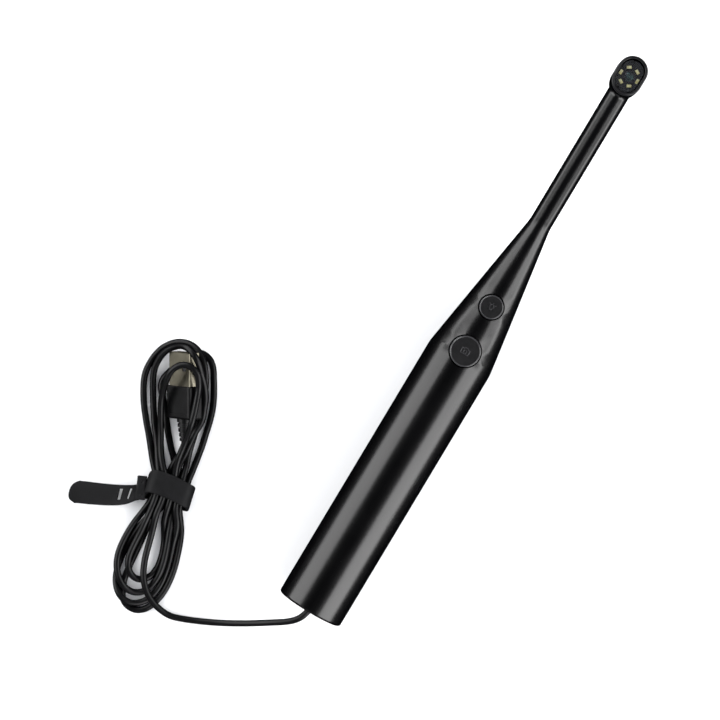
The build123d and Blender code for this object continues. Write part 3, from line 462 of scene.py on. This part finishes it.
# keeper: the small moulded block with its two locating dimples that the tail passes through
bm = bmesh.new()
KX, KY = Vector((0.90, 0.436, 0.0)), Vector((-0.436, 0.90, 0.0))
bmesh.ops.create_grid(bm, x_segments=14, y_segments=26, size=0.5)
top = {}
for v in bm.verts:
    x, y = v.co.x * 3.3, v.co.y * 8.6
    z = 5.55 + 0.12 * math.cos(y * 0.8) - 0.25 * (abs(v.co.x) * 2) ** 4
    for (dx, dy) in ((0.3, -2.6), (0.3, 2.4)):
        d = math.hypot(x - dx, y - dy)
        z -= 0.45 * max(0.0, 1 - (d / 0.62) ** 2)
    top[v] = (x, y, z)
for v, (x, y, z) in top.items():
    v.co = (Vector((-74.4, -109.2, 0.0)) + KX * x + KY * y + Vector((0, 0, z))) * 0.001
edge = [e for e in bm.edges if e.is_boundary]
ex = bmesh.ops.extrude_edge_only(bm, edges=edge)
for v in ex["geom"]:
    if isinstance(v, bmesh.types.BMVert):
        v.co.z = 0.0021
new_edges = [e for e in ex["geom"] if isinstance(e, bmesh.types.BMEdge)]
bmesh.ops.contextual_create(bm, geom=new_edges)
bmesh.ops.recalc_face_normals(bm, faces=bm.faces)
me = bpy.data.meshes.new("strap_keeper")
bm.to_mesh(me)
bm.free()
for f in me.polygons:
    f.use_smooth = True
keeper = bpy.data.objects.new("strap_keeper", me)
coll.objects.link(keeper)
me.materials.append(MATS["strap_black"])
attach(keeper, "camera")
bv = keeper.modifiers.new("edge", "BEVEL")
bv.width = 0.0004
bv.segments = 3
bv.limit_method = "ANGLE"


# ---------------------------------------------------------------- icons on the buttons
def icon(name, node, body, strokes, cy, width):
    """printed lines laid on the button's top, a few hundredths of a millimetre proud"""
    dg = bpy.context.evaluated_depsgraph_get()
    src = nodes[node]
    tr = BVHTree.FromObject(src, dg)
    V, F = [], []

    def drop(x, y):
        hit = tr.ray_cast(Vector((x * 0.001, (cy + y) * 0.001, 0.06)), Vector((0, 0, -1)))
        z = hit[0].z if hit[0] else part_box(node)[1][2]
        return Vector((x * 0.001, (cy + y) * 0.001, z))

    for line in strokes:
        fine = []
        for a, b in zip(line, line[1:]):
            d = math.hypot(b[0] - a[0], b[1] - a[1])
            m = max(1, int(d / 0.25))
            fine += [(a[0] + (b[0] - a[0]) * k / m, a[1] + (b[1] - a[1]) * k / m) for k in range(m)]
        fine.append(line[-1])
        base = len(V)
        for i, p in enumerate(fine):
            q0, q1 = fine[max(i - 1, 0)], fine[min(i + 1, len(fine) - 1)]
            dx, dy = q1[0] - q0[0], q1[1] - q0[1]
            n = math.hypot(dx, dy) or 1.0
            ox, oy = -dy / n * width / 2, dx / n * width / 2
            for s, h in ((-1, -0.02), (-0.8, 0.03), (0.8, 0.03), (1, -0.02)):
                V.append(drop(p[0] + ox * s, p[1] + oy * s) + Vector((0, 0, h * 0.001)))
        for i in range(len(fine) - 1):
            for j in range(4):
                a, b = base + i * 4 + j, base + i * 4 + (j + 1) % 4
                F.append((a, b, b + 4, a + 4))
        F.append(tuple(base + j for j in range(4)))
        F.append(tuple(base + (len(fine) - 1) * 4 + j for j in range(3, -1, -1)))
    o = add_mesh(name, V, F, PRINT, body)
    return o


def circle(r, x=0.0, y=0.0, n=20, a0=0, a1=360):
    return [(x + r * math.cos(math.radians(a0 + (a1 - a0) * k / n)),
             y + r * math.sin(math.radians(a0 + (a1 - a0) * k / n))) for k in range(n + 1)]


def rim(name, node, body, cy, r, t):
    """rolled edge round the button's top; its colour is lighter than the button's plastic, a painted highlight on the
    edge
    """
    dg = bpy.context.evaluated_depsgraph_get()
    tr = BVHTree.FromObject(nodes[node], dg)
    V, F = [], []
    n, m = 96, 10
    for i in range(n):
        a = 2 * math.pi * i / n
        ca, sa = math.cos(a), math.sin(a)
        hit = tr.ray_cast(Vector(((r - 0.55) * ca * 0.001, (cy + (r - 0.55) * sa) * 0.001, 0.06)), Vector((0, 0, -1)))
        z = (hit[0].z * 1000 if hit[0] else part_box(node)[1][2] * 1000) - 0.10
        for k in range(m):
            b = 2 * math.pi * k / m
            rr = r - t * 1.02 + t * math.cos(b)
            V.append(Vector((rr * ca, cy + rr * sa, z + t * math.sin(b))) * 0.001)
    for i in range(n):
        for k in range(m):
            F.append((i * m + k, ((i + 1) % n) * m + k, ((i + 1) % n) * m + (k + 1) % m, i * m + (k + 1) % m))
    o = add_mesh(name, V, F, RIM_PAINTED_HIGHLIGHT, body)
    return o


# edge ring material: glossy, so it reflects the lamps, and lighter than the button plastic (0.03 against 0.0034),
# which paints part of the edge highlight
RIM_PAINTED_HIGHLIGHT = surface("button_rim_painted_highlight", (0.03, 0.03, 0.032), 0.20, rvar=0.03, grain=0.0003, depth=0.000002, blotch=0.002, spec=0.8)
rim("capture_rim", "capture_button", "capture", -7.07, 5.54, 0.26)
rim("light_rim", "light_button", "light", 11.17, 4.30, 0.22)
PRINT = surface("icon_print", (0.030, 0.030, 0.033), 0.35, grain=0.0002, depth=0.000004, blotch=0.001)
icon("capture_icon", "capture_button", "capture",
     [[(-1.5, -1.0), (1.5, -1.0), (1.5, 0.8), (0.8, 0.8), (0.5, 1.3), (-0.5, 1.3), (-0.8, 0.8), (-1.5, 0.8), (-1.5, -1.0)],
      circle(0.58, 0.0, -0.1)], -7.07, 0.30)
icon("light_icon", "light_button", "light",
     [circle(0.75, 0.0, 0.25, 18, -60, 240), [(-0.38, -0.42), (-0.38, -0.95), (0.38, -0.95), (0.38, -0.42)],
      [(0.0, 1.35), (0.0, 1.75)], [(1.0, 0.9), (1.3, 1.2)], [(-1.0, 0.9), (-1.3, 1.2)]], 11.17, 0.22)


# ---------------------------------------------------------------- floor and lights
me = bpy.data.meshes.new("floor")
N, S = 24, 5.0
V = [(S * (2 * i / N - 1), S * (2 * j / N - 1), 0.0) for j in range(N + 1) for i in range(N + 1)]
F = [(j * (N + 1) + i, j * (N + 1) + i + 1, (j + 1) * (N + 1) + i + 1, (j + 1) * (N + 1) + i)
     for j in range(N) for i in range(N)]
me.from_pydata(V, [], F)
floor = bpy.data.objects.new("floor", me)
coll.objects.link(floor)
me.materials.append(surface("floor_white", (0.88, 0.88, 0.88), 0.9, var=0.004, rvar=0.02, grain=0.02,
                            depth=0.000001, blotch=0.3, spec=0.1))
floor.visible_glossy = False


def lamp(name, loc, target, w, l, watts):
    d = bpy.data.lights.new(name, "AREA")
    d.shape = "RECTANGLE"
    d.size, d.size_y = w, l
    d.energy = watts
    o = bpy.data.objects.new(name, d)
    coll.objects.link(o)
    o.location = loc
    z = (Vector(loc) - Vector(target)).normalized()
    y = Vector((0, 1, 0)) if abs(z.y) < 0.7 else Vector((0, 0, 1))
    x = y.cross(z).normalized()
    y = z.cross(x)
    o.matrix_world = Matrix(
        ((x.x, y.x, z.x, loc[0]), (x.y, y.y, z.y, loc[1]), (x.z, y.z, z.z, loc[2]), (0, 0, 0, 1)))
    return o


for side, sx, power in (("left", -1, 4.3), ("right", 1, 5.8)):
    for part, y, length, tilt, half in (("handle", -0.33, 0.90, 60.0, 25.0), ("gap", 0.205, 0.17, 80.0, 8.0),
                                        ("cone", 0.65, 0.72, 60.0, 25.0)):
        w = 2 * math.tan(math.radians(half))
        a = math.radians(tilt)
        lamp("panel_" + part + "_" + side, (sx * math.sin(a), y, 0.0125 + math.cos(a)), (0, y, 0.0125),
             w, length, power * math.pi * w * length)

lamp("fill_back", (-0.02, -1.45, 0.50), (-0.02, 0, 0.0125), 1.6, 0.6, 2.2)
lamp("fill_front", (-0.02, 1.60, 0.50), (-0.02, 0, 0.0125), 1.6, 0.6, 1.6)

world = bpy.data.worlds.new("studio")
bpy.context.scene.world = world
world.use_nodes = True
world.node_tree.nodes["Background"].inputs[0].default_value = (0.93, 0.95, 1.0, 1.0)
world.node_tree.nodes["Background"].inputs[1].default_value = 0.75
world.cycles_visibility.glossy = False
bpy.context.scene.view_settings.view_transform = "Standard"
bpy.context.scene.view_settings.look = "None"
